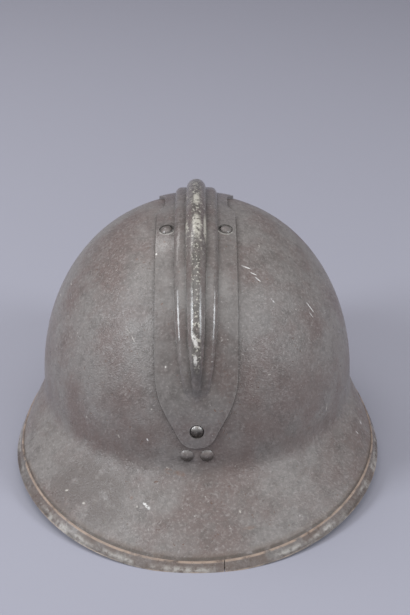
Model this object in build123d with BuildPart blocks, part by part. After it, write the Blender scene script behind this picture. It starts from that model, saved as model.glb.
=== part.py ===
from build123d import *
import os
from math import asin, atan2, cos, degrees, hypot, pi, radians, sin, sqrt, tan

# A crested steel helmet with a brim all round, standing on its rim on a table.
# Millimetres, +Z up, the visor points to -Y, the origin is under the middle of the overall box.

# Bowl
half_width = 98.0
half_length = 107.5
crown_rise = 110.0
crown_fullness = 2.2
sheet = 1.0

# Brim: the wall turns into it on a radius, about the height where the two would meet
root_height = 34.0
root_radius = 14.0
front_reach = 45.0
side_reach = 14.0
rear_reach = 30.5
side_lift = 9.0
brim_drift = 42.0

# Rim band folded over the brim's edge, with a butt joint at the front right
band_sheet = 0.6
band_fold = 1.0
band_width = 4.2
band_gap = 0.6
band_gap_side = 15.0

# Comb: a flange, a shoulder and a fin pressed in one sheet
comb_sheet = 0.9
flange_lift = 1.8
flange_half = 23.5
flange_edge = 1.1
flange_tip_height = 51.0
flange_taper_height = 103.0
tip_outline_shares = [(0.87, 0.49), (0.5, 0.17)]
waist_half = 19.2
waist_step = 10.0
waist_length = 22.0
waist_start = -5.0
shoulder_half = 13.0
shoulder_lift = 4.4
shoulder_corner_share = 0.85
fin_half = 6.4
fin_nose_half = 4.7
fin_lift = 9.8
rib_depth = 3.5
rib_tip_lift = 1.1
rib_tip_angle = 18.0
rib_tip_half = 2.4
rib_nose_angle = 36.0
rib_station_step = 5.0
dish_radius = 4.2
dish_vent = 1.4

# Air holes through the bowl, under the comb
vent_radius = 2.5
vents_in_row = 5
vent_spacing = 16.0
vent_row_spacing = 15.0

# Rivets
shank_radius = 1.6
hole_clearance = 0.05
head_radius = 3.3
head_height = 1.5
tail_radius = 2.6
tail_height = 0.8
tail_gap = 0.3
big_head_radius = 3.9
big_head_height = 1.8
end_rivet_height = 61.0
side_rivet_out = 17.4
side_rivet_front = -24.0
visor_rivet_height = 45.0
visor_rivet_spacing = 11.4

# Liner: corrugated spacers and a felt band round a leather band with its crown fingers
liner_gap = 12.0
leather = 1.6
leather_foot = 42.0
dome_foot = 70.0
dome_rise = 52.0
finger_foot = 78.0
finger_count = 8
finger_slot = 7.0
finger_tip_radius = 17.0
lace_hole_radius = 2.0
lace_hole_place = 25.0
felt = 2.5
felt_foot = 46.0
felt_height = 34.0
spacer_sheet = 0.5
spacer_height = 26.0
spacer_sweep = 44.0
spacer_waves = 8
spacer_wall_gap = 3.9
spacer_bend = 1.2

# Lugs that hold the liner to the wall
lug_sheet = 0.8
lug_bend = 1.0
lug_wall_gap = 0.9
lug_tongue_gap = 0.7
lug_foot = 40.0
lug_wall_top = 49.5
lug_tongue_top = 54.0
lug_width = 12.0
front_lug_width = 18.0
side_lug_angle = 106.0

# Chin strap, its rings and their brackets
wire_radius = 1.2
bow_radius = 11.0
bar_lift = 8.0
bracket_sheet = 0.8
bracket_width = 8.0
bracket_top = 48.0
bracket_wall_gap = 0.35
strap_width = 14.0
strap_leather = 1.6
strap_loop_length = 7.4
strap_loop_width = 5.6
strap_reach = 98.0
strap_corner = 67.0
strap_bend = 55.0
strap_droop = 10.0
strap_layer_gap = 1.8
strap_double_end = 46.0
strap_lap = 9.0
strap_rivet_radius = 1.0
strap_rivet_place = 3.5
strap_rivet_head = 2.6
strap_rivet_head_height = 0.7
slide_length = 9.0
slide_sheet = 1.2
slide_bar = 3.0
slide_bar_sheet = 1.0
slide_clearance = 0.4
slide_place = 31.5

overrun = 5.0
slack = 0.3

# What follows from the sizes above
edge_height = band_fold
side_edge_height = edge_height + side_lift
front_slope = atan2(root_height - edge_height, front_reach)
side_slope = atan2(root_height - side_edge_height, side_reach)
rear_slope = atan2(root_height - edge_height, rear_reach)
wall_foot = root_height + root_radius * tan((pi / 2 - front_slope) / 2)
flare_top = root_height - root_radius * cos(front_slope) / 2 - overrun / 2
crown_top = wall_foot + crown_rise
far = half_length + front_reach + rear_reach


def spread(height, slope, skin=0.0):
    """How far the brim stands out from the bowl's wall line at a height, on a skin inside the sheet."""
    turn_top = root_height + root_radius * tan((pi / 2 - slope) / 2)
    turn_foot = turn_top - (root_radius + skin) * cos(slope)
    if height >= turn_top:
        return -skin
    if height >= turn_foot:
        return root_radius - sqrt((root_radius + skin) ** 2 - (turn_top - height) ** 2)
    return (root_height - height) / tan(slope) - skin / sin(slope)


# The overall box is centred on the origin, so the bowl stands this far behind it
bowl_y = (spread(0, front_slope, -band_sheet) - spread(0, rear_slope, -band_sheet)) / 2
bowl_axis = Axis((0, bowl_y, 0), (0, 0, 1))


def level(height, skin):
    """The brim's outline at one height: two half ellipses, widest ahead of the bowl's middle."""
    drift = brim_drift * spread(height, front_slope) / front_reach
    side = half_width + spread(height, side_slope, skin)
    front = half_length + spread(height, front_slope, skin) - drift
    rear = half_length + spread(height, rear_slope, skin) + drift
    centre = (0, bowl_y - drift)
    with BuildSketch(Plane.XY.offset(height)) as outline:
        with BuildLine():
            EllipticalCenterArc(centre, side, front, start_angle=180, arc_size=180)
            EllipticalCenterArc(centre, side, rear, start_angle=0, arc_size=180)
        make_face()
    return outline.sketch


def skirt(skin):
    """The solid inside the brim's surface, from the bowl's foot to below the table."""
    turns = 8
    with BuildPart() as flare:
        curve = [wall_foot + (flare_top - wall_foot) * step / turns for step in range(turns + 1)]
        loft(sections=[level(height, skin) for height in curve])
        loft(sections=[level(flare_top, skin), level(-overrun - skin, skin)], ruled=True)
    return flare.part


def dome(wide, long, foot, rise):
    """A full round dome over an ellipse."""
    steps = 10
    with BuildPart() as solid:
        with BuildSketch(Plane.XZ.offset(-bowl_y)):
            with BuildLine():
                arch = []
                for step in range(steps + 1):
                    turn = pi / 2 * step / steps
                    reach = wide * (1 - sin(turn) ** 2) ** (1 / crown_fullness)
                    arch.append((reach, foot + rise * sin(turn)))
                Spline(arch, tangents=[(0, 1), (-1, 0)])
                Line((0, foot + rise), (0, foot))
                Line((0, foot), (wide, foot))
            make_face()
        revolve(axis=bowl_axis)
        scale(by=(1, long / wide, 1), about=(0, bowl_y, 0))
    return solid.part


def crown(growth):
    """The solid inside the bowl's dome, grown outwards by an even amount."""
    return dome(half_width + growth, half_length + growth, wall_foot, crown_rise + growth)


def form(skin):
    """The whole helmet as a solid block, on a skin inside its outer surface."""
    with BuildPart() as block:
        add(crown(-skin))
        add(skirt(skin), clean=False)
    return block.part


def under_edge(lift, inset):
    """Everything below the brim's edge line, which rises in an arc at the sides."""
    front = bowl_y - half_length - front_reach + inset * cos(front_slope)
    rear = bowl_y + half_length + rear_reach - inset * cos(rear_slope)
    front_height = edge_height + lift + inset * sin(front_slope)
    rear_height = edge_height + lift + inset * sin(rear_slope)
    side_height = side_edge_height + lift + inset * sin(side_slope)
    with BuildPart() as below:
        with BuildSketch(Plane.YZ):
            with BuildLine():
                ThreePointArc((front, front_height), ((front + rear) / 2, side_height), (rear, rear_height))
                Polyline((rear, rear_height), (far, rear_height), (far, -far), (-far, -far),
                         (-far, front_height), (front, front_height))
            make_face()
        extrude(amount=far, both=True)
    return below.part


def roof_seat(out, along):
    """The plane that touches the bowl above a point of its plan."""
    share = hypot(out / half_width, along / half_length)
    rise = crown_rise * sqrt(1 - share ** crown_fullness)
    lean = crown_fullness * share ** (crown_fullness - 2)
    upward = 2 * rise / crown_rise ** 2
    normal = Vector(lean * out / half_width ** 2, lean * along / half_length ** 2, upward)
    return Plane((out, bowl_y + along, wall_foot + rise), x_dir=(1, 0, 0), z_dir=normal.normalized())


def end_seat(out, height, end):
    """The plane that touches the bowl's front (-1) or rear (1) wall at a height."""
    rise = height - wall_foot
    share = (1 - (rise / crown_rise) ** 2) ** (1 / crown_fullness)
    along = end * half_length * sqrt(share ** 2 - (out / half_width) ** 2)
    return roof_seat(out, along)


def arch_plane(angle):
    """A plane square to the bowl's middle arch, X across it and Y outwards; 0 is in front, 180 behind."""
    turn = radians(angle)
    side = 1 if angle > 90 else -1
    along = side * half_length * abs(cos(turn)) ** (2 / crown_fullness)
    rise = crown_rise * sin(turn)
    lean = crown_fullness * abs(along) ** (crown_fullness - 1) / half_length ** crown_fullness
    out = Vector(0, side * lean, 2 * rise / crown_rise ** 2).normalized()
    origin = (0, bowl_y + along, wall_foot + rise)
    return Plane(origin, x_dir=(1, 0, 0), z_dir=(0, -out.Z, out.Y))


def wall_plane(angle, skin):
    """An upright plane through the bowl's foot, X outwards and Y up; 0 is in front, 90 at the right."""
    turn = radians(angle)
    wide = half_width - skin
    long = half_length - skin
    spot = Vector(wide * sin(turn), bowl_y - long * cos(turn), 0)
    out = Vector(sin(turn) / wide, -cos(turn) / long, 0).normalized()
    return Plane(spot, x_dir=out, z_dir=out.cross(Vector(0, 0, 1)))


def peg(seat, radius, low, high):
    """A round bar along a seat's normal, from one distance above it to another."""
    with BuildPart() as bar:
        with BuildSketch(seat.offset(low)):
            Circle(radius)
        extrude(amount=high - low)
    return bar.part


def rivet(seat, head, height, grip):
    """A domed head on its seat, a shank through the sheets and a flattened tail inside."""
    profile = Plane(seat.origin, x_dir=seat.x_dir, z_dir=seat.x_dir.cross(seat.z_dir))
    foot = -grip - tail_gap
    ball = (head ** 2 + height ** 2) / (2 * height)
    half_turn = asin(head / ball) / 2
    middle = (ball * sin(half_turn), height - ball + ball * cos(half_turn))
    with BuildPart() as pin:
        with BuildSketch(profile):
            with BuildLine():
                ThreePointArc((head, 0), middle, (0, height))
                tail = foot - tail_height
                Polyline((0, height), (0, tail), (tail_radius * cos(pi / 6), tail),
                         (tail_radius, foot), (shank_radius, foot), (shank_radius, 0), (head, 0))
            make_face()
        revolve(axis=Axis(seat.origin, seat.z_dir))
    return pin.part


# Places of the rivets and the air holes
waist_middle = waist_start + waist_step + waist_length / 2
side_rivet_rear = 2 * waist_middle - side_rivet_front
side_seats = []
for out in (-side_rivet_out, side_rivet_out):
    for along in (side_rivet_front, side_rivet_rear):
        side_seats.append(roof_seat(out, along))
end_seats = [end_seat(0, end_rivet_height, end) for end in (-1, 1)]
visor_seats = [end_seat(side * visor_rivet_spacing / 2, visor_rivet_height, -1) for side in (-1, 1)]
comb_seats = side_seats + end_seats
hole_radius = shank_radius + hole_clearance
vent_seats = []
for out in (-vent_row_spacing / 2, vent_row_spacing / 2):
    for step in range(vents_in_row):
        vent_seats.append(roof_seat(out, (step - (vents_in_row - 1) / 2) * vent_spacing))


# Shell: bowl and brim in one pressing, with its air holes and rivet holes
rivet_holes = [peg(seat, hole_radius, -overrun, overrun) for seat in comb_seats + visor_seats]
vents = [peg(seat, vent_radius, -overrun, overrun) for seat in vent_seats]
with BuildPart() as shell:
    add(form(0))
    add(form(sheet), clean=False, mode=Mode.SUBTRACT)
    add(under_edge(0, 0), clean=False, mode=Mode.SUBTRACT)
    add(rivet_holes + vents, clean=False, mode=Mode.SUBTRACT)
shell.part.label = "shell"


# Rim band: a strip folded over the brim's edge
with BuildPart() as brim_edge:
    add(skirt(0))
    add(skirt(sheet), clean=False, mode=Mode.SUBTRACT)
    add(under_edge(0, 0), clean=False, mode=Mode.SUBTRACT)

with BuildPart() as rim_band:
    add(skirt(-band_sheet))
    add(under_edge(0, band_width), clean=False, mode=Mode.INTERSECT)
    add(skirt(sheet + band_sheet), clean=False, mode=Mode.SUBTRACT)
    add(under_edge(-band_fold, 0), clean=False, mode=Mode.SUBTRACT)
    add(brim_edge.part, clean=False, mode=Mode.SUBTRACT)
    with BuildSketch(Plane.XY.offset(-overrun)):
        with Locations((band_gap_side, -far)):
            Rectangle(band_gap, far, align=(Align.CENTER, Align.MIN))
    extrude(amount=root_height, mode=Mode.SUBTRACT)
rim_band.part.label = "rim_band"


def nearness(angle):
    """How far a station is from the comb's end, 0 at either tip and 1 at the nose and beyond."""
    from_end = min(angle, 180 - angle)
    return min(1, (from_end - rib_tip_angle) / (rib_nose_angle - rib_tip_angle))


def fin_size(angle):
    """The fin's half width and its height over the bowl at a station."""
    share = max(0, (min(angle, 180 - angle) - rib_nose_angle) / (90 - rib_nose_angle))
    half = fin_nose_half + (fin_half - fin_nose_half) * sin(pi / 2 * share)
    ease = nearness(angle)
    return rib_tip_half + (half - rib_tip_half) * ease, rib_tip_lift + (fin_lift - rib_tip_lift) * ease


def shoulder_size(angle):
    """The shoulder's half width and its height over the bowl at a station."""
    share = (90 - min(angle, 180 - angle)) / (90 - rib_tip_angle)
    half = rib_tip_half + (shoulder_half - rib_tip_half) * sqrt(1 - share ** 4)
    ease = sin(pi / 2 * nearness(angle))
    return half, rib_tip_lift + (shoulder_lift - rib_tip_lift) * ease


def rib(size, corner_share, inset):
    """A raised rib over the bowl from front to rear; a corner share of 1 makes a full round top."""
    stations = round((180 - 2 * rib_tip_angle) / rib_station_step)
    with BuildPart() as ridge:
        for step in range(stations + 1):
            angle = rib_tip_angle + (180 - 2 * rib_tip_angle) * step / stations
            half, top = size(angle)
            half = half - inset
            top = top - inset
            corner = half if corner_share == 1 else corner_share * top
            with BuildSketch(arch_plane(angle)):
                with BuildLine():
                    turn = top - corner
                    Polyline((-half, turn), (-half, -rib_depth), (half, -rib_depth), (half, turn))
                    CenterArc((half - corner, turn), corner, 0, 90)
                    if corner_share < 1:
                        Line((half - corner, top), (corner - half, top))
                    CenterArc((corner - half, turn), corner, 90, 90)
                make_face()
        loft(ruled=True)
    return ridge.part


def flange_outline(inset):
    """The comb's outline as an upright block: full width over the top, a rounded tip at each end."""
    half = flange_half - inset
    tip = flange_tip_height + inset
    taper = flange_taper_height - tip
    with BuildPart() as block:
        with BuildSketch(Plane.XZ):
            with BuildLine():
                edge = [(half, flange_taper_height)]
                for out_share, height_share in tip_outline_shares:
                    edge.append((half * out_share, tip + taper * height_share))
                edge.append((0, tip))
                Spline(edge, tangents=[(0, -1), (-1, 0)])
                Polyline((0, tip), (0, crown_top + overrun), (half, crown_top + overrun), edge[0])
            make_face()
            mirror(about=Plane.YZ)
        extrude(amount=far, both=True)
        with BuildSketch(Plane.XY.offset(crown_top / 2)):
            with BuildLine():
                slant = (flange_half - waist_half) / waist_step
                start = bowl_y + waist_start
                end = start + 2 * waist_step + waist_length
                beyond = overrun / slant
                waist = waist_half - inset
                Polyline((half + overrun, start - beyond), (half, start), (waist, start + waist_step),
                         (waist, end - waist_step), (half, end), (half + overrun, end + beyond), close=True)
            make_face()
            mirror(about=Plane.YZ)
        extrude(amount=crown_top, mode=Mode.SUBTRACT)
    return block.part


# Comb: a hollow pressing that lies on the bowl with its turned edge and its rivet dishes
with BuildPart() as comb_hollow:
    add(crown(flange_lift - comb_sheet))
    add(flange_outline(flange_edge), clean=False, mode=Mode.INTERSECT)
    dish_walls = [peg(seat, dish_radius + comb_sheet, -overrun, overrun) for seat in comb_seats]
    add(dish_walls, clean=False, mode=Mode.SUBTRACT)
    add(rib(shoulder_size, shoulder_corner_share, comb_sheet), clean=False)
    add(rib(fin_size, 1, comb_sheet), clean=False)
    for seat in side_seats:
        with BuildSketch(seat.offset(-overrun)):
            Circle(dish_radius - slack)
            inwards = -dish_vent if seat.origin.X > 0 else dish_vent
            with Locations((-inwards, dish_vent / 2)):
                Circle(dish_radius, mode=Mode.SUBTRACT)
        extrude(amount=overrun + comb_sheet, clean=False)

with BuildPart() as comb:
    add(crown(flange_lift))
    add(flange_outline(0), clean=False, mode=Mode.INTERSECT)
    dishes = [peg(seat, dish_radius, comb_sheet, overrun) for seat in comb_seats]
    add(dishes, clean=False, mode=Mode.SUBTRACT)
    comb_holes = [peg(seat, hole_radius, -overrun, overrun) for seat in comb_seats]
    add(comb_holes, clean=False, mode=Mode.SUBTRACT)
    add(rib(shoulder_size, shoulder_corner_share, 0), clean=False)
    add(rib(fin_size, 1, 0), clean=False)
    add(crown(0), clean=False, mode=Mode.SUBTRACT)
    add(comb_hollow.part, clean=False, mode=Mode.SUBTRACT)
comb.part.label = "comb"


# Rivets of the comb
comb_grip = comb_sheet + sheet
comb_front_rivet = rivet(end_seats[0].offset(comb_sheet), big_head_radius, big_head_height, comb_grip)
comb_front_rivet.label = "comb_front_rivet"
comb_rear_rivet = rivet(end_seats[1].offset(comb_sheet), big_head_radius, big_head_height, comb_grip)
comb_rear_rivet.label = "comb_rear_rivet"
with BuildPart() as comb_side_rivets:
    for seat in side_seats:
        add(rivet(seat.offset(comb_sheet), head_radius, head_height, comb_grip))
comb_side_rivets.part.label = "comb_side_rivets"


# Liner: where its leather stands, an even gap inside the wall
liner_wide = half_width - sheet - liner_gap
liner_long = half_length - sheet - liner_gap


def oval(growth):
    """The liner's outline grown by an amount, as a face on the current workplane."""
    with Locations((0, bowl_y)):
        Ellipse(liner_wide + growth, liner_long + growth)


# Liner leather: a band with crown fingers that bend inwards over the head
with BuildPart() as liner_leather:
    with BuildSketch(Plane.XY.offset(leather_foot)):
        oval(0)
        with Locations((0, bowl_y)):
            Ellipse(liner_wide - leather, liner_long - leather, mode=Mode.SUBTRACT)
    extrude(amount=dome_foot - leather_foot)
    with BuildPart(mode=Mode.PRIVATE) as fingers:
        add(dome(liner_wide, liner_long, dome_foot, dome_rise))
        inner_dome = dome(liner_wide - leather, liner_long - leather, dome_foot, dome_rise - leather)
        add(inner_dome, clean=False, mode=Mode.SUBTRACT)
        with BuildSketch(Plane.XY.offset(finger_foot)):
            with Locations((0, bowl_y)):
                Circle(finger_tip_radius)
                with PolarLocations(0, finger_count, start_angle=180 / finger_count):
                    Rectangle(liner_long + overrun, finger_slot, align=(Align.MIN, Align.CENTER))
                with PolarLocations(lace_hole_place, finger_count):
                    Circle(lace_hole_radius)
        extrude(amount=dome_rise, clean=False, mode=Mode.SUBTRACT)
    add(fingers.part, clean=False)
liner_leather.part.label = "liner_leather"


# Felt band round the leather
with BuildPart() as felt_band:
    with BuildSketch(Plane.XY.offset(felt_foot)):
        oval(felt)
        with Locations((0, bowl_y)):
            Ellipse(liner_wide, liner_long, mode=Mode.SUBTRACT)
    extrude(amount=felt_height)
felt_band.part.label = "felt_band"


def spacer(middle):
    """A corrugated strip between the felt and the wall, centred on an angle round the bowl."""
    inner = felt + slack + spacer_sheet / 2
    outer = liner_gap - spacer_wall_gap - spacer_sheet / 2
    points = []
    for step in range(2 * spacer_waves + 1):
        turn = radians(middle - spacer_sweep / 2 + spacer_sweep * step / (2 * spacer_waves))
        growth = outer if step % 2 else inner
        points.append(((liner_wide + growth) * sin(turn), bowl_y - (liner_long + growth) * cos(turn)))
    with BuildPart() as strip:
        with BuildSketch(Plane.XY.offset(felt_foot)):
            with BuildLine():
                FilletPolyline(*points, radius=spacer_bend)
            trace(line_width=spacer_sheet)
        extrude(amount=spacer_height)
    return strip.part


# Corrugated spacers, one at each corner
spacer_front_right = spacer(45)
spacer_front_right.label = "spacer_front_right"
spacer_rear_right = spacer(135)
spacer_rear_right.label = "spacer_rear_right"
spacer_rear_left = spacer(225)
spacer_rear_left.label = "spacer_rear_left"
spacer_front_left = spacer(315)
spacer_front_left.label = "spacer_front_left"


def lug(angle, width):
    """A lug fixed to the wall, bent under the liner and up inside it; 0 is in front."""
    plate = -lug_wall_gap - lug_sheet / 2
    tongue = -liner_gap - leather - lug_tongue_gap - lug_sheet / 2
    floor = lug_foot + lug_sheet / 2
    with BuildPart() as clip:
        with BuildSketch(wall_plane(angle, sheet)):
            with BuildLine():
                FilletPolyline((plate, lug_wall_top), (plate, floor), (tongue, floor),
                               (tongue, lug_tongue_top), radius=lug_bend)
            trace(line_width=lug_sheet)
        extrude(amount=width / 2, both=True)
    return clip.part


# Liner lugs
with BuildPart() as liner_lug_front:
    add(lug(0, front_lug_width))
    add([peg(seat, hole_radius, -overrun, overrun) for seat in visor_seats], mode=Mode.SUBTRACT)
liner_lug_front.part.label = "liner_lug_front"
liner_lug_rear = lug(180, lug_width)
liner_lug_rear.label = "liner_lug_rear"
liner_lug_right = lug(side_lug_angle, lug_width)
liner_lug_right.label = "liner_lug_right"
liner_lug_left = lug(-side_lug_angle, lug_width)
liner_lug_left.label = "liner_lug_left"

# The two domed rivets that hold the front lug
with BuildPart() as visor_rivets:
    for seat in visor_seats:
        add(rivet(seat, big_head_radius, big_head_height, sheet + lug_wall_gap + lug_sheet))
visor_rivets.part.label = "visor_rivets"


# Chin strap: it leaves its rings forwards and droops to the table
droop = radians(strap_droop)
ring_height = strap_reach * sin(droop) + strap_width / 2 * cos(droop) + slack
knuckle_bore = wire_radius + hole_clearance
knuckle_radius = knuckle_bore + bracket_sheet
ring_out = half_width - sheet - bracket_wall_gap - knuckle_radius
bar_height = ring_height + bar_lift
bar_half = sqrt(bow_radius ** 2 - bar_lift ** 2)


def ring(side):
    """A wire ring with a flat top bar, hanging in its bracket."""
    middle = Vector(side * ring_out, bowl_y, ring_height)
    front = middle + Vector(0, -bar_half, bar_lift)
    lead = Vector(0, -bar_half, bar_lift).normalized()
    cut = Plane(front, x_dir=(1, 0, 0), z_dir=Vector(1, 0, 0).cross(lead))
    bow_turn = 360 - 2 * degrees(asin(bar_half / bow_radius))
    with BuildPart() as loop:
        with BuildSketch(cut):
            Circle(wire_radius)
        revolve(axis=Axis(middle, (1, 0, 0)), revolution_arc=bow_turn)
        with BuildSketch(Plane.XZ.offset(-bowl_y)):
            with Locations((side * ring_out, bar_height)):
                Circle(wire_radius)
        extrude(amount=bar_half, both=True)
        with Locations(front, front + Vector(0, 2 * bar_half, 0)):
            Sphere(wire_radius)
    return loop.part


def bracket(side):
    """A strip folded round the ring's bar and fixed flat to the wall."""
    with BuildPart() as holder:
        with BuildSketch(Plane.XZ.offset(-bowl_y)):
            with Locations((side * ring_out, bar_height)):
                Circle(knuckle_radius)
            with Locations((side * (ring_out + knuckle_radius), bar_height)):
                plate = (Align.MAX if side > 0 else Align.MIN, Align.MIN)
                Rectangle(bracket_sheet, bracket_top - bar_height, align=plate)
            with Locations((side * ring_out, bar_height)):
                Circle(knuckle_bore, mode=Mode.SUBTRACT)
        extrude(amount=bracket_width / 2, both=True)
    return holder.part


ring_right = ring(1)
ring_right.label = "ring_right"
ring_left = ring(-1)
ring_left.label = "ring_left"
bracket_right = bracket(1)
bracket_right.label = "ring_bracket_right"
bracket_left = bracket(-1)
bracket_left.label = "ring_bracket_left"

# Strap: drawn in its own plane, X across the helmet and Y away from the rings
strap_plane = Plane((0, bowl_y, ring_height), x_dir=(1, 0, 0), z_dir=(0, sin(droop), -cos(droop)))
loop_far = bow_radius + wire_radius + slack + strap_leather / 2
loop_middle = bow_radius + wire_radius + slack - strap_loop_length / 2
layer_half = (strap_layer_gap + strap_leather) / 2
run_start = Vector(ring_out, loop_far)
run_corner = Vector(strap_corner, strap_reach)
run_along = (run_corner - run_start).normalized()
run_out = Vector(run_along.Y, -run_along.X)


def strap_seat(along, across):
    """A plane on the strap's outer face, at a distance along its run and across its width."""
    spot = run_start + run_along * along + run_out * (layer_half + strap_leather / 2)
    lengthways = strap_plane.from_local_coords(run_along) - strap_plane.origin
    outwards = strap_plane.from_local_coords(run_out) - strap_plane.origin
    origin = strap_plane.from_local_coords(spot + Vector(0, 0, across))
    return Plane(origin, x_dir=lengthways, z_dir=outwards)


lap_start = (strap_double_end - loop_far) / run_along.Y
lap_seats = [strap_seat(lap_start + strap_lap, across) for across in (-strap_rivet_place, strap_rivet_place)]
double_end = run_start + run_along * lap_start
lap_drop = run_out * (layer_half - strap_leather)
with BuildPart() as chinstrap:
    with BuildSketch(strap_plane):
        with BuildLine():
            FilletPolyline(run_start + run_out * layer_half, run_corner + run_out * layer_half,
                           (-run_corner.X, run_corner.Y), (-run_start.X, run_start.Y), radius=strap_bend)
        trace(line_width=strap_leather)
        with BuildLine():
            Polyline(run_start - run_out * layer_half, double_end - run_out * layer_half,
                     double_end + run_along * strap_lap / 2 + lap_drop,
                     double_end + run_along * strap_lap * 3 / 2 + lap_drop)
        trace(line_width=strap_leather)
        with Locations((-ring_out, loop_middle), (ring_out, loop_middle)):
            outer_length = strap_loop_length + 2 * strap_leather
            SlotOverall(outer_length, strap_loop_width + 2 * strap_leather, rotation=90)
            SlotOverall(strap_loop_length, strap_loop_width, rotation=90, mode=Mode.SUBTRACT)
    extrude(amount=strap_width / 2, both=True)
    for seat in lap_seats:
        add(peg(seat, strap_rivet_radius + hole_clearance, -overrun, overrun), mode=Mode.SUBTRACT)
chinstrap.part.label = "chinstrap"

# Rivets through the lap, with a flat head on each side
with BuildPart() as strap_rivets:
    for seat in lap_seats:
        add(peg(seat, strap_rivet_radius, -2 * strap_leather, 0))
        add(peg(seat, strap_rivet_head, 0, strap_rivet_head_height))
        add(peg(seat, strap_rivet_head, -2 * strap_leather - strap_rivet_head_height, -2 * strap_leather))
strap_rivets.part.label = "strap_rivets"

# Slide: a frame round both layers of the strap, with a bar between them
with BuildPart() as slide_buckle:
    slide_face = strap_seat((slide_place - loop_far) / run_along.Y, 0)
    slide_seat = slide_face.offset(-layer_half - strap_leather / 2)
    slide_cut = Plane(slide_seat.origin, x_dir=slide_seat.z_dir, z_dir=slide_seat.x_dir)
    room = 2 * layer_half + strap_leather + 2 * slide_clearance
    wide_room = strap_width + 2 * slide_clearance
    with BuildSketch(slide_cut):
        RectangleRounded(room + 2 * slide_sheet, wide_room + 2 * slide_sheet, slide_sheet)
        Rectangle(room, wide_room, mode=Mode.SUBTRACT)
    extrude(amount=slide_length / 2, both=True)
    with BuildSketch(slide_cut):
        Rectangle(slide_bar_sheet, wide_room)
    extrude(amount=slide_bar / 2, both=True)
slide_buckle.part.label = "slide_buckle"

os.makedirs("parts", exist_ok=True)
export_step(shell.part, "parts/shell.step")
export_step(rim_band.part, "parts/rim_band.step")
export_step(comb.part, "parts/comb.step")
export_step(comb_front_rivet, "parts/comb_front_rivet.step")
export_step(comb_rear_rivet, "parts/comb_rear_rivet.step")
export_step(comb_side_rivets.part, "parts/comb_side_rivets.step")
export_step(liner_leather.part, "parts/liner_leather.step")
export_step(felt_band.part, "parts/felt_band.step")
export_step(spacer_front_right, "parts/spacer_front_right.step")
export_step(spacer_rear_right, "parts/spacer_rear_right.step")
export_step(spacer_rear_left, "parts/spacer_rear_left.step")
export_step(spacer_front_left, "parts/spacer_front_left.step")
export_step(liner_lug_front.part, "parts/liner_lug_front.step")
export_step(liner_lug_rear, "parts/liner_lug_rear.step")
export_step(liner_lug_right, "parts/liner_lug_right.step")
export_step(liner_lug_left, "parts/liner_lug_left.step")
export_step(visor_rivets.part, "parts/visor_rivets.step")
export_step(ring_right, "parts/ring_right.step")
export_step(ring_left, "parts/ring_left.step")
export_step(bracket_right, "parts/ring_bracket_right.step")
export_step(bracket_left, "parts/ring_bracket_left.step")
export_step(chinstrap.part, "parts/chinstrap.step")
export_step(strap_rivets.part, "parts/strap_rivets.step")
export_step(slide_buckle.part, "parts/slide_buckle.step")
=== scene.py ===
from math import cos, hypot, pi, radians, sin

import bpy
from mathutils import Matrix, Vector


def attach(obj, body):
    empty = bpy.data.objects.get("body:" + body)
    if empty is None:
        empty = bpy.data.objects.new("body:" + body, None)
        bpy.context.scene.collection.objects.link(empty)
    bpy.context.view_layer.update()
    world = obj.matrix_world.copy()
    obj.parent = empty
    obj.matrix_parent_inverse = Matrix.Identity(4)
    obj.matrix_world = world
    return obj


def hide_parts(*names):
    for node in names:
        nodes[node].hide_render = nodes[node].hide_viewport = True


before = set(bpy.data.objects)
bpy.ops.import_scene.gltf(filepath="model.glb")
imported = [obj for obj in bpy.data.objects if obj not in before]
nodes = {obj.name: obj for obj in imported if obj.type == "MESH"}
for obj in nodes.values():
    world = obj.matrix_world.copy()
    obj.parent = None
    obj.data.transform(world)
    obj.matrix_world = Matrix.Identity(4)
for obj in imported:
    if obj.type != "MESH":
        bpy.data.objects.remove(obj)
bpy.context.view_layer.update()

bpy.ops.object.select_all(action="DESELECT")


# View
# The helmet is seen from in front of its visor and well above it, a little more than
# half a metre away, through a short telephoto lens.
view_place = Vector((0.003331, -0.66465, 0.43507))
look_down = radians(27.579)
look_aside = radians(0.156)
tilt = radians(-0.227)
focal_length = 70.24
film_side = 36.0
ahead = Vector((sin(look_aside) * cos(look_down), cos(look_aside) * cos(look_down),
                -sin(look_down)))
level_right = Vector((cos(look_aside), -sin(look_aside), 0))
level_up = level_right.cross(ahead)
right = level_right * cos(tilt) + level_up * sin(tilt)
up = level_up * cos(tilt) - level_right * sin(tilt)
turned = Matrix((right, up, -ahead)).transposed().to_4x4()
lens = bpy.data.cameras.new("view")
lens.lens = focal_length
lens.sensor_width = film_side
camera = bpy.data.objects.new("view", lens)
camera.matrix_world = Matrix.Translation(view_place) @ turned
bpy.context.scene.collection.objects.link(camera)
bpy.context.scene.camera = camera
bpy.context.scene.view_settings.view_transform = "Standard"


# Paper sweep
# The helmet stands on a pale blue-grey sheet of background paper, which curves up behind it
# and has no edge in the photograph.
paper_wide, paper_deep, paper_shift = 8.0, 6.4, -1.6
curve_steps, curve_step = 8, 0.2
paper_rise = 2.5
paper_tone = (0.346, 0.342, 0.395, 1)
paper_roughness = 0.9
bpy.ops.mesh.primitive_plane_add(size=1.0, location=(0, 0, 0))
paper = bpy.context.object
paper.name = "paper_sweep"
bpy.ops.object.mode_set(mode="EDIT")
bpy.ops.mesh.select_all(action="SELECT")
bpy.ops.transform.resize(value=(paper_wide, paper_deep, 1.0), center_override=(0, 0, 0))
bpy.ops.transform.translate(value=(0, paper_shift, 0))
bpy.ops.mesh.select_all(action="DESELECT")
bpy.ops.object.mode_set(mode="OBJECT")
for corner in paper.data.vertices:
    corner.select = corner.co.y > 0
bpy.ops.object.mode_set(mode="EDIT")
for step in range(curve_steps):
    turn = radians(90 / curve_steps) * (step + 0.5)
    bpy.ops.mesh.extrude_region_move(TRANSFORM_OT_translate={
        "value": (0, curve_step * cos(turn), curve_step * sin(turn))})
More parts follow.
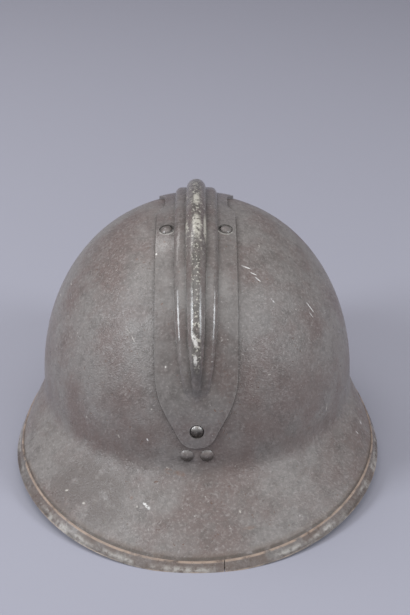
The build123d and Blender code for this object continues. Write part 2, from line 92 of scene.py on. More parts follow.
bpy.ops.mesh.extrude_region_move(TRANSFORM_OT_translate={"value": (0, 0, paper_rise)})
bpy.ops.object.mode_set(mode="OBJECT")
bpy.ops.object.transform_apply(location=True, rotation=True, scale=True)
bpy.ops.object.shade_smooth()
paper_finish = bpy.data.materials.new("background_paper")
paper_finish.use_nodes = True
paper_shader = paper_finish.node_tree.nodes["Principled BSDF"]
paper_shader.inputs["Base Color"].default_value = paper_tone
paper_shader.inputs["Roughness"].default_value = paper_roughness
paper.data.materials.append(paper_finish)


# Light
# Two cool soft boxes stand to the left and right of the helmet and draw the long highlights
# on it. A wide weak light hangs over it, another one lights the paper behind, and the room
# adds grey.
def soft_light(name, place, aim, sides, power, tint=(1.0, 1.0, 1.0)):
    """A rectangular lamp of two sides at a place, turned to a point."""
    lamp = bpy.data.lights.new(name, "AREA")
    lamp.color = tint
    lamp.shape = "RECTANGLE"
    lamp.size, lamp.size_y = sides
    lamp.energy = power
    holder = bpy.data.objects.new(name, lamp)
    holder.location = place
    holder.rotation_mode = "QUATERNION"
    holder.rotation_quaternion = (Vector(aim) - Vector(place)).to_track_quat("-Z", "Y")
    bpy.context.scene.collection.objects.link(holder)


helmet_middle, paper_middle = (0, 0, 0.1), (-0.7, 1.2, 0)
soft_box, cool_white = (0.42, 0.66), (0.90, 0.95, 1.0)
room_tone, room_power = (0.86, 0.86, 0.90, 1), 0.5
soft_light("overhead_light", (0, -0.42, 1.5), helmet_middle, (1.4, 0.9), 5.6)
soft_light("left_light", (-1.12, -0.48, 0.88), helmet_middle, soft_box, 12.8, cool_white)
soft_light("right_light", (1.18, -0.5, 0.9), helmet_middle, soft_box, 9.2, cool_white)
soft_light("paper_light", (-0.75, 0.7, 1.3), paper_middle, (1.0, 0.6), 6.2)
room = bpy.data.worlds.new("grey_room")
room.use_nodes = True
room.node_tree.nodes["Background"].inputs["Color"].default_value = room_tone
room.node_tree.nodes["Background"].inputs["Strength"].default_value = room_power
bpy.context.scene.world = room


# Shell
# Bowl, visor and neck guard are one pressing of thin steel. Its matt grey-brown paint is
# dusty, pitted and scratched, and rubbed brown low on the bowl and on the left of the visor.
def part(tree, kind, feeds=(), **settings):
    """One shader node; feeds pair a socket with a value or with another node's output."""
    made = tree.nodes.new(kind)
    for name, value in settings.items():
        setattr(made, name, value)
    for socket, value in feeds:
        if isinstance(value, bpy.types.NodeSocket):
            tree.links.new(value, made.inputs[socket])
        else:
            made.inputs[socket].default_value = value
    return made


def new_finish(name, roughness, metal=0.0):
    """A new material: itself, its tree, the place on the object and the surface shader."""
    made = bpy.data.materials.new(name)
    made.use_nodes = True
    tree = made.node_tree
    surface = tree.nodes["Principled BSDF"]
    surface.inputs["Roughness"].default_value = roughness
    surface.inputs["Metallic"].default_value = metal
    return made, tree, part(tree, "ShaderNodeTexCoord").outputs["Object"], surface


def axes(tree, vector):
    """The three numbers of a vector."""
    return part(tree, "ShaderNodeSeparateXYZ", [(0, vector)]).outputs


def ramp(tree, value, empty, full):
    """A mask that grows from nothing to full between two values."""
    return part(tree, "ShaderNodeMapRange", [
        ("Value", value), ("From Min", empty), ("From Max", full)]).outputs["Result"]


def blotches(tree, place, size, low, high, detail=4.0):
    """A mask of random spots about one size across, from nothing at low to full at high."""
    noise = part(tree, "ShaderNodeTexNoise", [
        ("Vector", place), ("Scale", 1 / size), ("Detail", detail), ("Roughness", 0.6)])
    return ramp(tree, noise.outputs["Fac"], low, high)


def both(tree, first, second, way="MULTIPLY"):
    """Two masks or numbers brought together, by default as their product."""
    return part(tree, "ShaderNodeMath", [(0, first), (1, second)], operation=way).outputs[0]


def cover(tree, mask, under, over, share=None):
    """One colour laid over another where the mask is, or only a share of it."""
    sockets = [(0, mask if share is None else both(tree, mask, share))]
    for socket, colour in ((6, under), (7, over)):
        linked = isinstance(colour, bpy.types.NodeSocket)
        sockets.append((socket, colour if linked else (*colour, 1)))
    return part(tree, "ShaderNodeMix", sockets, data_type="RGBA").outputs[2]


def scratch(tree, place, start, end, width, deep):
    """A mask along a line between two points of the surface, in metres, and so deep into it."""
    bowl_middle = Vector((0, 0.0076, 0.04))
    along = (end - start).normalized()
    outward = (start + end) / 2 - bowl_middle
    outward = (outward - along * outward.dot(along)).normalized()
    turn = Matrix((along, outward.cross(along), outward)).transposed().to_euler()
    patch = part(tree, "ShaderNodeMapping", [
        ("Vector", place), ("Location", (start + end) / 2), ("Rotation", turn),
        ("Scale", ((end - start).length / 2, width / 2, deep))], vector_type="TEXTURE")
    falloff = part(tree, "ShaderNodeTexGradient", [("Vector", patch.outputs[0])],
                   gradient_type="SPHERICAL")
    return ramp(tree, falloff.outputs["Fac"], 0.05, 0.5)


def marks(tree, place, spots, torn, deep=0.01):
    """A mask of scratches and chips: each has a start, an end and a width in millimetres."""
    mask = 0.0
    for start, end, width in spots:
        ends = [Vector(point) / 1000 for point in (start, end)]
        line = scratch(tree, place, *ends, width / 1000, deep)
        mask = both(tree, line, mask, "MAXIMUM")
    return both(tree, mask, blotches(tree, place, torn, 0.36, 0.48))


def dirt_and_shade(tree, place, reach):
    """A mask of the corners between pieces, where little light gets in: dirt stays there, and it
    also serves as painted shade.
    """
    corner = part(tree, "ShaderNodeAmbientOcclusion", [("Distance", reach)], samples=6)
    shut = ramp(tree, corner.outputs["AO"], 0.90, 0.62)
    return both(tree, shut, blotches(tree, place, 0.005, 0.25, 0.45))


def above_band(tree, place):
    """How high a point lies over the line where the rim band ends on the brim."""
    side_height, front_drop, front_reach = 0.01363, 0.01014, 0.1439
    along, height = axes(tree, place)[1:]
    share = both(tree, both(tree, along, 1 / front_reach), 2.0, "POWER")
    line = both(tree, side_height, both(tree, share, front_drop), "SUBTRACT")
    return both(tree, height, line, "SUBTRACT")


def old_paint(name, lighter=1.0, gloss=0.27):
    """The helmet's paint: clouded grey and brown, grainy and dusty, with rusty pits."""
    clean_tones = ((0.211, 0.190, 0.176), (0.165, 0.127, 0.114), (0.092, 0.080, 0.071),
                   (0.352, 0.318, 0.298))
    grey, brown, dark, dust = (tuple(share * lighter for share in tone) for tone in clean_tones)
    pale_dot, rust_brown = (0.42, 0.39, 0.36), (0.150, 0.078, 0.048)
    finish, tree, place, surface = new_finish(name, 0.5)
    colour = cover(tree, blotches(tree, place, 0.034, 0.42, 0.62), grey, brown)
    colour = cover(tree, blotches(tree, place, 0.011, 0.50, 0.72), colour, dark, 0.5)
    colour = cover(tree, blotches(tree, place, 0.0035, 0.50, 0.72), colour, dark, 0.45)
    colour = cover(tree, blotches(tree, place, 0.0018, 0.50, 0.74, 2.0), colour, dust, 0.5)
    dots = both(tree, blotches(tree, place, 0.0019, 0.71, 0.75, 1.0),
                blotches(tree, place, 0.018, 0.45, 0.62))
    colour = cover(tree, dots, colour, pale_dot, 0.75)
    pits = both(tree, blotches(tree, place, 0.0016, 0.70, 0.73, 1.0),
                blotches(tree, place, 0.02, 0.5, 0.6))
    colour = cover(tree, pits, colour, rust_brown, 0.8)
    grain = both(tree, blotches(tree, place, 0.0010, 0.3, 0.7, 3.0), pits, "SUBTRACT")
    duller = both(tree, blotches(tree, place, 0.004, 0.35, 0.65), 0.14)
    tree.links.new(both(tree, duller, gloss, "ADD"), surface.inputs["Roughness"])
    return finish, tree, place, surface, colour, grain


def dress(tree, surface, colour, height, depth):
    """The surface's colour, and its relief of a depth in metres from a height mask."""
    bump = part(tree, "ShaderNodeBump", [
        ("Height", height), ("Distance", depth), ("Strength", 1.0)])
    tree.links.new(colour, surface.inputs["Base Color"])
    tree.links.new(bump.outputs[0], surface.inputs["Normal"])


def refinish(name, finish, angle=32.0):
    """A finish on a pressed or turned solid, shaded smooth between corners of an angle."""
    solid = nodes[name]
    solid.data.materials.clear()
    solid.data.materials.append(finish)
    for face in solid.data.polygons:
        face.use_smooth = True
    joined = solid.modifiers.new("joined facets", "WELD")
    joined.merge_threshold = 0.00001
    corners = solid.modifiers.new("corners", "EDGE_SPLIT")
    corners.split_angle = radians(angle)


rubbed_brown, visor_brown = (0.168, 0.130, 0.115), (0.124, 0.102, 0.091)
corner_dirt_and_shade, line_dirt = (0.062, 0.050, 0.042), (0.070, 0.054, 0.043)
crept_rust, spot_rust = (0.148, 0.108, 0.084), (0.205, 0.122, 0.084)
bright_steel, grazed_paint = (0.72, 0.70, 0.67), (0.50, 0.46, 0.41)
shell_grain = 0.00017
paint, tree, place, surface, colour, grain = old_paint("helmet_paint")

# The bowl is rubbed brown all round, most of all just above its foot.
height = axes(tree, place)["Z"]
low_belt = both(tree, ramp(tree, height, 0.098, 0.055), ramp(tree, height, 0.028, 0.045))
rubbed = both(tree, low_belt, blotches(tree, place, 0.018, 0.38, 0.60))
colour = cover(tree, rubbed, colour, rubbed_brown, 0.6)

# The left third of the visor is browner than the rest.
zone = marks(tree, place, [((-90.0, -70.0, 21.0), (-36.0, -122.0, 14.0), 50.0)], 0.012, 0.03)
colour = cover(tree, zone, colour, visor_brown, 0.85)

# Dirt and painted shade lie beside the comb, the rivets and the band.
colour = cover(tree, dirt_and_shade(tree, place, 0.003), colour, corner_dirt_and_shade, 0.85)

# Rust has crept from under the rim band, and dirt lies in the line beside it.
over_line = above_band(tree, place)
crept = both(tree, ramp(tree, over_line, 0.0022, 0.0004), blotches(tree, place, 0.009, 0.36, 0.56))
colour = cover(tree, crept, colour, crept_rust, 0.75)
in_line = both(tree, ramp(tree, over_line, 0.0009, 0.0004),
               blotches(tree, place, 0.006, 0.30, 0.48))
colour = cover(tree, in_line, colour, line_dirt, 0.75)

# Scratches down to the bright steel, pale grazes and chips, and rust spots lie where the
# photograph shows them, and a few more at the back. Their masks end about where the sheet
# does, so that they hardly mark the inside.
skin_deep, spot_deep = 0.0012, 0.0020
bright = marks(tree, place, [
    ((25.3, -41.3, 136.9), (32.8, -41.7, 133.9), 1.1),
    ((30.5, -43.8, 133.7), (35.4, -44.0, 131.4), 0.9),
    ((33.5, -45.3, 131.5), (37.5, -46.9, 128.5), 1.0),
    ((42.3, -52.5, 121.5), (45.4, -53.8, 118.2), 0.8),
    ((63.5, -38.8, 112.6), (70.1, -39.4, 103.5), 1.0),
    ((65.9, -42.3, 106.9), (69.2, -42.5, 102.1), 0.8),
    ((101.7, -29.9, 23.2), (103.1, -32.1, 21.1), 1.1),
    ((97.1, -42.5, 24.3), (100.0, -43.1, 21.2), 1.0),
    ((-31.2, -112.3, 21.5), (-28.6, -113.3, 21.2), 1.3),
    ((-30.0, -113.0, 21.2), (-26.4, -116.3, 19.8), 1.9),
    ((-28.6, -94.5, 53.8), (-27.7, -95.0, 51.8), 1.2),
], 0.0012, skin_deep)
colour = cover(tree, bright, colour, bright_steel)
grazes = marks(tree, place, [
    ((57.2, -48.4, 112.0), (58.2, -48.4, 111.1), 1.3),
    ((36.7, -21.2, 140.6), (37.3, -23.0, 139.8), 1.1),
    ((55.0, -1.0, 133.9), (56.2, -1.8, 132.9), 1.0),
    ((40.1, -80.8, 86.6), (42.2, -79.5, 86.7), 1.0),
    ((-37.0, -70.0, 107.4), (-34.3, -74.1, 103.7), 0.8),
    ((-40.1, -66.2, 109.8), (-37.0, -70.0, 107.4), 0.5),
    ((-76.6, -9.2, 110.0), (-75.6, -12.8, 110.4), 1.0),
    ((-84.9, 0.1, 97.8), (-83.4, -5.8, 99.5), 1.2),
    ((-25.7, -92.0, 72.0), (-25.2, -92.5, 71.0), 1.2),
    ((-34.8, -113.2, 19.8), (-33.6, -113.4, 19.9), 1.0),
    ((-64.7, -72.1, 55.1), (-64.2, -72.9, 52.9), 1.1),
    ((-45.4, -87.2, 51.8), (-44.5, -87.9, 49.1), 1.0),
    ((-77.7, -92.0, 15.7), (-74.9, -92.9, 16.8), 1.0),
    ((-66.8, -103.1, 14.9), (-64.1, -104.0, 15.6), 0.8),
    ((77.7, -56.7, 54.2), (77.0, -58.6, 47.0), 1.0),
    ((23.6, -116.5, 19.8), (24.7, -118.3, 18.4), 1.4),
    ((101.2, -15.6, 27.0), (101.5, -16.6, 26.4), 1.0),
    ((102.4, -18.0, 24.9), (102.8, -19.6, 24.1), 1.0),
    ((-17.8, -98.7, 37.1), (-16.1, -99.7, 35.7), 1.2),
    ((-60.0, 60.0, 110.0), (-57.0, 66.0, 106.0), 0.8),
    ((40.0, 88.0, 88.0), (44.0, 86.0, 84.0), 0.9),
    ((84.0, 30.0, 92.0), (84.5, 36.0, 88.0), 0.8),
], 0.0010, skin_deep)
colour = cover(tree, grazes, colour, grazed_paint, 0.85)
rust_spots = marks(tree, place, [
    ((-38.4, -108.0, 22.5), (-36.4, -109.0, 22.4), 1.8),
    ((-35.2, -32.6, 137.2), (-33.8, -34.2, 137.2), 1.8),
    ((-19.5, -99.2, 35.5), (-12.0, -101.0, 33.8), 4.5),
    ((-13.5, -100.5, 35.0), (-6.0, -102.2, 33.2), 3.6),
    ((24.0, -126.5, 13.5), (36.0, -123.5, 13.8), 3.0),
    ((71.0, -64.0, 44.0), (60.0, -76.0, 46.0), 4.0),
], 0.0026, spot_deep)
colour = cover(tree, rust_spots, colour, spot_rust, 0.5)
dress(tree, surface, colour, grain, shell_grain)
refinish("shell", paint)


# Rim band
# A narrow steel strip is folded over the brim's edge all round. Its inner edge is rubbed to a
# pale rusty line, its outer side is scuffed and carries painted highlights in places, and
# painted shadow lies under the fold.
def worn_corners(tree, reach):
    """A mask of the corners of a piece, from how far their rounding would turn the surface."""
    still_flat, well_turned = 0.985, 0.90
    rounded = part(tree, "ShaderNodeBevel", [("Radius", reach)], samples=6)
    flat = part(tree, "ShaderNodeNewGeometry")
    agree = part(tree, "ShaderNodeVectorMath", [
        (0, rounded.outputs["Normal"]), (1, flat.outputs["Normal"])],
        operation="DOT_PRODUCT").outputs["Value"]
    return ramp(tree, agree, still_flat, well_turned)


band_brown, scuffed_paint_and_highlight = (0.110, 0.078, 0.062), (0.37, 0.345, 0.315)
fold_shadow, edge_rust, corner_rust = (0.070, 0.052, 0.042), (0.39, 0.29, 0.225), (0.33, 0.255, 0.205)
band_grain = 0.00012
band_paint, tree, place, surface, colour, grain = old_paint("band_paint", 0.80, 0.24)
colour = cover(tree, blotches(tree, place, 0.014, 0.44, 0.60), colour, band_brown, 0.7)
under_line = both(tree, above_band(tree, place), -1.0)
# The outer side is scuffed pale in places, which also stands as a painted highlight on its
# rounding.
outer_scuffs_and_highlight = both(tree, ramp(tree, under_line, 0.0011, 0.0021),
                  blotches(tree, place, 0.022, 0.46, 0.56))
outer_scuffs_and_highlight = both(tree, outer_scuffs_and_highlight, blotches(tree, place, 0.0030, 0.36, 0.52))
colour = cover(tree, outer_scuffs_and_highlight, colour, scuffed_paint_and_highlight, 0.85)
# Painted shadow along the band's lower edge, under the fold.
under_fold_shadow = both(tree, ramp(tree, under_line, 0.0023, 0.0030),
                  blotches(tree, place, 0.015, 0.40, 0.56))
colour = cover(tree, under_fold_shadow, colour, fold_shadow, 0.8)
inner_edge = both(tree, ramp(tree, under_line, 0.00065, 0.00035),
                  blotches(tree, place, 0.008, 0.34, 0.54))
colour = cover(tree, inner_edge, colour, edge_rust, 0.9)
pale_edges = both(tree, worn_corners(tree, 0.0009), blotches(tree, place, 0.016, 0.42, 0.58))
colour = cover(tree, pale_edges, colour, corner_rust, 0.8)
dress(tree, surface, colour, grain, band_grain)
refinish("rim_band", band_paint)


# Comb
# A hollow pressing runs over the crown from front to rear: a flat flange, a rounded shoulder
# and a fin. Handling has polished its dark paint and flaked it off along the fin's top.
ridge_grime, comb_dirt_and_shade = (0.085, 0.078, 0.066), (0.062, 0.055, 0.048)
darker_nose_tone, dish_shade = (0.055, 0.048, 0.043), (0.045, 0.040, 0.035)
flaked_paint, pale_rub_and_highlight = (0.50, 0.47, 0.40), (0.36, 0.345, 0.325)
comb_steel, lip_steel_and_highlight = (0.66, 0.63, 0.58), (0.40, 0.38, 0.34)
smooth_grain = 0.00003
comb_paint, tree, place, surface, colour, grain = old_paint("comb_paint", 0.85, 0.17)
surface.inputs["Specular IOR Level"].default_value = 0.75
aside, along, height = axes(tree, place)
off_middle = part(tree, "ShaderNodeMath", [(0, aside)], operation="ABSOLUTE").outputs[0]
ridge = both(tree, ramp(tree, off_middle, 0.0030, 0.0018), ramp(tree, height, 0.094, 0.100))
grime = both(tree, ridge, blotches(tree, place, 0.0030, 0.35, 0.50))
colour = cover(tree, grime, colour, ridge_grime, 0.75)
crown = both(tree, ramp(tree, along, -0.055, -0.035), ramp(tree, along, 0.080, 0.020))
crown = both(tree, crown, ramp(tree, off_middle, 0.0068, 0.0052))
flecks = both(tree, ridge, blotches(tree, place, 0.0016, 0.58, 0.62, 2.0))
worn_off = both(tree, crown, blotches(tree, place, 0.0021, 0.62, 0.66, 2.0))
flecks = both(tree, flecks, worn_off, "MAXIMUM")
flakes = marks(tree, place, [
    ((0.3, -14.0, 159.0), (0.8, -40.0, 152.0), 6.5),
    ((5.1, -10.0, 156.0), (5.3, -40.0, 147.0), 2.8),
    ((-5.4, -17.0, 155.0), (-5.4, -32.0, 151.0), 2.2),
    ((0.0, 12.0, 160.0), (0.5, -8.0, 160.0), 5.0),
], 0.0026)
colour = cover(tree, both(tree, flecks, flakes, "MAXIMUM"), colour, flaked_paint, 0.9)
bare_spots = marks(tree, place, [
    ((-2.5, -84.5, 118.0), (0.8, -90.5, 108.5), 3.4),
    ((-0.8, -91.0, 107.0), (-0.3, -95.0, 100.0), 3.0),
    ((-23.2, -35.8, 142.3), (-22.6, -37.7, 141.6), 1.4),
    ((-17.2, -86.6, 96.8), (-17.3, -87.3, 95.3), 1.2),
], 0.0009)
colour = cover(tree, bare_spots, colour, comb_steel)
# Dirt and painted shade lie in the comb's corners.
colour = cover(tree, dirt_and_shade(tree, place, 0.0025), colour, comb_dirt_and_shade, 0.8)
# Its edges are rubbed pale and carry a painted highlight.
pale_edges = both(tree, worn_corners(tree, 0.0008), blotches(tree, place, 0.012, 0.40, 0.60))
colour = cover(tree, pale_edges, colour, pale_rub_and_highlight, 0.5)
# The front end of the fin is darker.
darker_nose = marks(tree, place, [((0.0, -92.0, 104.0), (1.0, -102.0, 76.0), 19.0)], 0.0045)
colour = cover(tree, darker_nose, colour, darker_nose_tone, 0.6)

# The two dishes in front get painted shade round their rivets, and their front lips are rubbed
# bright and carry a painted highlight.
dish_aside, dish_along, dish_height = 0.0170, -0.0178, 0.1486
for side in (-1, 1):
    dish = (side * dish_aside, dish_along, dish_height)
    out = part(tree, "ShaderNodeVectorMath", [(0, place), (1, dish)],
               operation="DISTANCE").outputs["Value"]
    colour = cover(tree, ramp(tree, out, 0.0046, 0.0041), colour, dish_shade, 0.85)
    lip_wear_and_highlight = both(tree, ramp(tree, out, 0.0040, 0.0044), ramp(tree, out, 0.0053, 0.0048))
    lip_wear_and_highlight = both(tree, lip_wear_and_highlight, ramp(tree, along, -0.0188, -0.0200))
    lip_wear_and_highlight = both(tree, lip_wear_and_highlight, blotches(tree, place, 0.002, 0.35, 0.5))
    colour = cover(tree, lip_wear_and_highlight, colour, lip_steel_and_highlight, 0.8)
dress(tree, surface, colour, grain, smooth_grain)
refinish("comb", comb_paint)


# Rivets of the comb and of the front lug
# Domed steel rivets with painted shade on the side that faces down: the front one of the comb
# is worn to the metal and painted light on top, the others are painted with the helmet.
def head_tone(tree, empty, full):
    """A mask of one side of a rivet's head, from how much its surface faces up, for painted light
    and shade.
    """
    faces = part(tree, "ShaderNodeNewGeometry").outputs["Normal"]
    return ramp(tree, axes(tree, faces)["Z"], empty, full)


turned_angle = 40.0
head_steel, head_tarnish = (0.46, 0.44, 0.42), (0.20, 0.175, 0.155)
steel_underside_shade, paint_underside_shade = (0.060, 0.052, 0.045), (0.050, 0.044, 0.038)
hammered = 0.00006
bare, tree, place, surface = new_finish("bare_rivet", 0.34, 0.7)
# The bare head is painted light on top and has painted shade on its underside.
colour = cover(tree, head_tone(tree, 0.15, 0.75), steel_underside_shade, head_steel)
colour = cover(tree, blotches(tree, place, 0.0022, 0.45, 0.60), colour, head_tarnish, 0.6)
dress(tree, surface, colour, blotches(tree, place, 0.0006, 0.3, 0.7), hammered)
refinish("comb_front_rivet", bare, turned_angle)
rivet_paint, tree, place, surface, colour, grain = old_paint("rivet_paint", 0.90, 0.20)
# Painted shade on the side of the painted heads that faces down.
colour = cover(tree, head_tone(tree, 0.35, -0.15), colour, paint_underside_shade, 0.8)

# The painted heads low on the bowl get a painted highlight on top.
low_down = ramp(tree, axes(tree, place)["Z"], 0.090, 0.080)
upper_side_highlight = both(tree, head_tone(tree, 0.45, 0.80), low_down)
colour = cover(tree, upper_side_highlight, colour, pale_rub_and_highlight, 0.5)
dress(tree, surface, colour, grain, smooth_grain)
for rivet in ("comb_rear_rivet", "comb_side_rivets", "visor_rivets"):
    refinish(rivet, rivet_paint, turned_angle)


# Liner leather
# A leather band is cut at its top into eight fingers, which a lace gathers over the head.
# It is brown, worn smooth, and darker where sweat has soaked in.
def thicken(piece, thickness, even=False):
    """A sheet given its thickness, half to each side."""
    sheet = piece.modifiers.new("thickness", "SOLIDIFY")
    sheet.thickness = thickness
    sheet.offset = 0.0
    sheet.use_even_offset = even
    bpy.ops.object.modifier_apply(modifier="thickness")


def soften(piece, width, steps, corner, smooth):
    """Worn edges on a soft piece, and smooth shading between its corners, both in degrees."""
    rounded = piece.modifiers.new("worn edges", "BEVEL")
    rounded.width = width
    rounded.segments = steps
    rounded.limit_method = "ANGLE"
    rounded.angle_limit = radians(corner)
    bpy.ops.object.modifier_apply(modifier="worn edges")
    bpy.ops.object.shade_smooth_by_angle(angle=radians(smooth))


liner_wide, liner_long, liner_back = 0.085, 0.0945, 0.00757
leather, leather_edge = 0.0016, 0.0004
band_top, band_steps, band_step = 0.070, 4, 0.007
cap_rise = 0.0512
fingers = 8
slot_wide, slot_long, slot_deep = 0.007, 0.1, 0.06
slot_height, slot_foot_height = 0.108, 0.078
opening_radius, opening_deep = 0.0172, 0.08
lace_hole, lace_ring, lace_height = 0.002, 0.025, 0.118
cutter_long = 0.05
liner_brown, sweat_brown = (0.115, 0.062, 0.032), (0.055, 0.03, 0.018)
dry_brown = (0.19, 0.115, 0.065)
pores_per_metre, crease_deep = 900.0, 0.00025
hide, tree, place, surface = new_finish("liner_hide", 0.52)
colour = cover(tree, blotches(tree, place, 0.03, 0.4, 0.62), liner_brown, sweat_brown)
colour = cover(tree, blotches(tree, place, 0.004, 0.55, 0.7), colour, dry_brown, 0.5)
pores = part(tree, "ShaderNodeTexVoronoi", [("Vector", place), ("Scale", pores_per_metre)])
creases = both(tree, pores.outputs["Distance"], blotches(tree, place, 0.006, 0.3, 0.7), "ADD")
dress(tree, surface, colour, creases, crease_deep)

bpy.ops.object.select_all(action="DESELECT")
bpy.ops.mesh.primitive_uv_sphere_add(segments=96, ring_count=48, radius=1.0, location=(0, 0, 0))
cap = bpy.context.object
cap.name = "liner_cap"
bpy.ops.object.mode_set(mode="EDIT")
bpy.ops.mesh.select_all(action="SELECT")
bpy.ops.mesh.bisect(plane_co=(0, 0, 0), plane_no=(0, 0, 1), clear_inner=True, use_fill=False)
bpy.ops.mesh.select_all(action="SELECT")
bpy.ops.transform.resize(value=(liner_wide - leather / 2, liner_long - leather / 2, cap_rise),
                         center_override=(0, 0, 0))
bpy.ops.transform.translate(value=(0, liner_back, band_top))
bpy.ops.mesh.select_all(action="DESELECT")
bpy.ops.object.mode_set(mode="OBJECT")
for corner in cap.data.vertices:
    corner.select = corner.co.z < band_top + 0.00005
bpy.ops.object.mode_set(mode="EDIT")
for step in range(band_steps):
    bpy.ops.mesh.extrude_region_move(TRANSFORM_OT_translate={"value": (0, 0, -band_step)})
bpy.ops.object.mode_set(mode="OBJECT")
thicken(cap, leather)

bpy.ops.object.select_all(action="DESELECT")
bpy.ops.mesh.primitive_cylinder_add(vertices=64, radius=opening_radius, depth=opening_deep,
                                    location=(0, liner_back, lace_height))
cutters = [bpy.context.object]
for finger in range(fingers):
    turn = radians(360 / fingers * (finger + 0.5))
    bpy.ops.mesh.primitive_cube_add(size=1.0, location=(0, 0, 0))
    slot = bpy.context.object
    slot.scale = (slot_long, slot_wide, slot_deep)
    slot.rotation_euler = (0, 0, turn)
    reach = slot_long / 2
    slot.location = (reach * cos(turn), liner_back + reach * sin(turn), slot_height)
    cutters.append(slot)
    bpy.ops.mesh.primitive_cylinder_add(vertices=24, radius=slot_wide / 2, depth=cutter_long,
                                        location=(0, 0, 0))
    slot_foot = bpy.context.object
    slot_foot.rotation_euler = (0, pi / 2, turn)
    reach = hypot(liner_wide * cos(turn), liner_long * sin(turn))
    slot_foot.location = (reach * cos(turn), liner_back + reach * sin(turn), slot_foot_height)
    cutters.append(slot_foot)
    hole_turn = radians(360 / fingers * finger)
    hole_place = (lace_ring * cos(hole_turn), liner_back + lace_ring * sin(hole_turn), lace_height)
    bpy.ops.mesh.primitive_cylinder_add(vertices=20, radius=lace_hole, depth=cutter_long,
                                        location=hole_place)
    cutters.append(bpy.context.object)
for tool in cutters:
    bpy.context.view_layer.objects.active = cap
    cut = cap.modifiers.new("cut", "BOOLEAN")
    cut.operation = "DIFFERENCE"
    cut.solver = "EXACT"
    cut.object = tool
    bpy.ops.object.modifier_apply(modifier="cut")
for tool in cutters:
    bpy.data.objects.remove(tool)
bpy.ops.object.select_all(action="DESELECT")
cap.select_set(True)
bpy.context.view_layer.objects.active = cap
soften(cap, leather_edge, 2, 50, 35)
cap.data.materials.append(hide)
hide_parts("liner_leather")
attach(cap, "helmet")


# Felt band
# A strip of coarse dark felt lies round the leather and pads it against the spacers. Its
# edges have gone soft and round.
felt_thick, felt_high, felt_height, felt_out, felt_edge = 0.0021, 0.0336, 0.063, 0.00135, 0.0007
felt_black, felt_grey, felt_nap = (0.05, 0.045, 0.042), (0.13, 0.12, 0.11), 0.0006
wool, tree, place, surface = new_finish("dark_felt", 0.95)
colour = cover(tree, blotches(tree, place, 0.0015, 0.35, 0.65), felt_black, felt_grey)
surface.inputs["Sheen Weight"].default_value = 0.3
dress(tree, surface, colour, blotches(tree, place, 0.0008, 0.3, 0.7, 6.0), felt_nap)
bpy.ops.object.select_all(action="DESELECT")
bpy.ops.mesh.primitive_cylinder_add(vertices=160, radius=1.0, depth=felt_high,
                                    end_fill_type="NOTHING", location=(0, 0, 0))
felt = bpy.context.object
felt.name = "felt_strip"
bpy.ops.object.mode_set(mode="EDIT")
bpy.ops.mesh.select_all(action="SELECT")
bpy.ops.transform.resize(value=(liner_wide + felt_out, liner_long + felt_out, 1.0),
                         center_override=(0, 0, 0))
bpy.ops.transform.translate(value=(0, liner_back, felt_height))
bpy.ops.object.mode_set(mode="OBJECT")
thicken(felt, felt_thick)
soften(felt, felt_edge, 3, 30, 40)
felt.data.materials.append(wool)
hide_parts("felt_band")
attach(felt, "helmet")


# Spacers
# Four strips of corrugated aluminium keep the liner off the wall. They are dull, with darker
# bloom in places.
aluminium_grey, dark_bloom, metal_grain = (0.58, 0.58, 0.58), (0.38, 0.38, 0.37), 0.00008
alloy, tree, place, surface = new_finish("dull_aluminium", 0.45, 1.0)
colour = cover(tree, blotches(tree, place, 0.008, 0.45, 0.62), aluminium_grey, dark_bloom)
dress(tree, surface, colour, blotches(tree, place, 0.0007, 0.3, 0.7), metal_grain)
for spacer in ("spacer_front_right", "spacer_rear_right", "spacer_rear_left",
               "spacer_front_left"):
    refinish(spacer, alloy)


# Liner lugs
# Four small bent steel tongues stand on the bowl's wall and carry the liner. They are painted
# like the shell's inside.
for lug in ("liner_lug_front", "liner_lug_rear", "liner_lug_right", "liner_lug_left"):
    refinish(lug, paint)


# Strap rings, their brackets and the strap's slide
# Blackened steel: a ring of round wire hangs by its straight bar in a folded bracket on each
# side, and a folded slide holds the strap's doubled end. Rubbing has brought brown and grey
# through.
blackening, worn_brown = (0.075, 0.07, 0.068), (0.16, 0.13, 0.11)
black_steel, tree, place, surface = new_finish("blackened_steel", 0.42, 0.8)
colour = cover(tree, blotches(tree, place, 0.005, 0.42, 0.62), blackening, worn_brown)
dress(tree, surface, colour, blotches(tree, place, 0.0006, 0.3, 0.7), metal_grain)
for fitting in ("ring_right", "ring_left", "ring_bracket_right", "ring_bracket_left",
                "slide_buckle"):
    refinish(fitting, black_steel, turned_angle)


# Chin strap
# One leather strap runs from ring to ring. It is looped round each ring, and its right end is
# doubled back through the slide and riveted. Its edges are worn round.
strap_brown, oiled_brown = (0.13, 0.072, 0.036), (0.065, 0.036, 0.02)
strap_pores_per_metre, pore_deep = 1100.0, 0.0002
strap_hide, tree, place, surface = new_finish("strap_hide", 0.5)
colour = cover(tree, blotches(tree, place, 0.02, 0.4, 0.62), strap_brown, oiled_brown)
pores = part(tree, "ShaderNodeTexVoronoi", [("Vector", place), ("Scale", strap_pores_per_metre)])
dress(tree, surface, colour, pores.outputs["Distance"], pore_deep)


def rounded_run(corners, radius, steps=14):
    """A run of points through corners, each of them rounded to a radius."""
    points = [corners[0]]
    for before, corner, after in zip(corners, corners[1:], corners[2:]):
        back, on = (before - corner).normalized(), (after - corner).normalized()
        half = back.angle(on) / 2
        middle = corner + (back + on).normalized() * radius / sin(half)
        first = corner + back * radius / (sin(half) / cos(half)) - middle
        last = corner + on * radius / (sin(half) / cos(half)) - middle
        turn = first.angle_signed(last)
        points += [middle + Matrix.Rotation(-turn * step / steps, 2) @ first
                   for step in range(steps + 1)]
    return points + [corners[-1]]


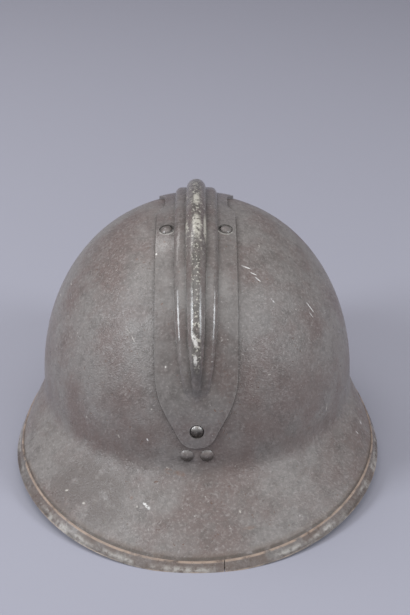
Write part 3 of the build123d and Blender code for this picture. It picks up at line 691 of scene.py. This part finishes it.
def leather_run(name, points, closed=False):
    """A strap on edge along points of its plane, with worn edges."""
    line = bpy.data.curves.new(name, "CURVE")
    line.dimensions = "2D"
    line.extrude = strap_half_wide
    run = line.splines.new("POLY")
    run.points.add(len(points) - 1)
    for spot, point in zip(run.points, points):
        spot.co = (*point, 0, 1)
    run.use_cyclic_u = closed
    strip = bpy.data.objects.new(name, line)
    bpy.context.scene.collection.objects.link(strip)
    bpy.ops.object.select_all(action="DESELECT")
    strip.select_set(True)
    bpy.context.view_layer.objects.active = strip
    bpy.ops.object.convert(target="MESH")
    strip = bpy.context.object
    bpy.ops.object.mode_set(mode="EDIT")
    bpy.ops.mesh.select_all(action="SELECT")
    bpy.ops.mesh.remove_doubles(threshold=0.00001)
    bpy.ops.object.mode_set(mode="OBJECT")
    thicken(strip, leather, True)
    soften(strip, leather_edge, 2, 50, 35)
    strip.data.transform(strap_turn)
    return strip


# The strap is drawn flat, across the helmet and away from its rings, and then turned to where
# it hangs round the front of the liner.
strap_half_wide = 0.0069
ring_out, ring_height, droop = 0.0946, 0.024211, radians(10)
strap_turn = (Matrix.Translation((0, liner_back, ring_height))
              @ Matrix.Rotation(pi + droop, 4, "X"))
run_start, run_corner, bend = Vector((ring_out, 0.0133)), Vector((0.067, 0.098)), 0.055
run_along = (run_corner - run_start).normalized()
run_out = Vector((run_along.y, -run_along.x))
layer = 0.0017
outer_run = rounded_run([run_start + run_out * layer, run_corner + run_out * layer,
                         Vector((-run_corner.x, run_corner.y)),
                         Vector((-run_start.x, run_start.y))], bend)

# The doubled end runs beside it, and comes to lie against it at the lap.
free_long, slope_long, lap_long = 0.0344, 0.0045, 0.0135
lap = run_start + run_along * free_long
lap_gap = run_out * 0.0001
inner_run = [run_start - run_out * layer, lap - run_out * layer,
             lap + run_along * slope_long + lap_gap, lap + run_along * lap_long + lap_gap]

# Each loop is a little longer than it is wide.
loop_radius, loop_stretch, loop_middle, loop_points = 0.0036, 0.0009, 0.0088, 40
loops = []
for side in (-1, 1):
    turns = []
    for step in range(loop_points):
        turn = radians(360 / loop_points * step)
        reach = loop_stretch if sin(turn) >= 0 else -loop_stretch
        turns.append(Vector((side * ring_out + loop_radius * cos(turn),
                             loop_middle + reach + loop_radius * sin(turn))))
    loops.append(turns)
straps = [leather_run("strap_outer_run", outer_run), leather_run("strap_inner_run", inner_run),
          leather_run("strap_left_loop", loops[0], True),
          leather_run("strap_right_loop", loops[1], True)]
bpy.ops.object.select_all(action="DESELECT")
for strip in straps:
    strip.select_set(True)
bpy.context.view_layer.objects.active = straps[0]
bpy.ops.object.join()
strap = bpy.context.object
strap.name = "strap_leather"
strap.data.materials.append(strap_hide)
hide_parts("chinstrap")
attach(strap, "strap")

# The strap's rivets are blackened too.
refinish("strap_rivets", black_steel, turned_angle)
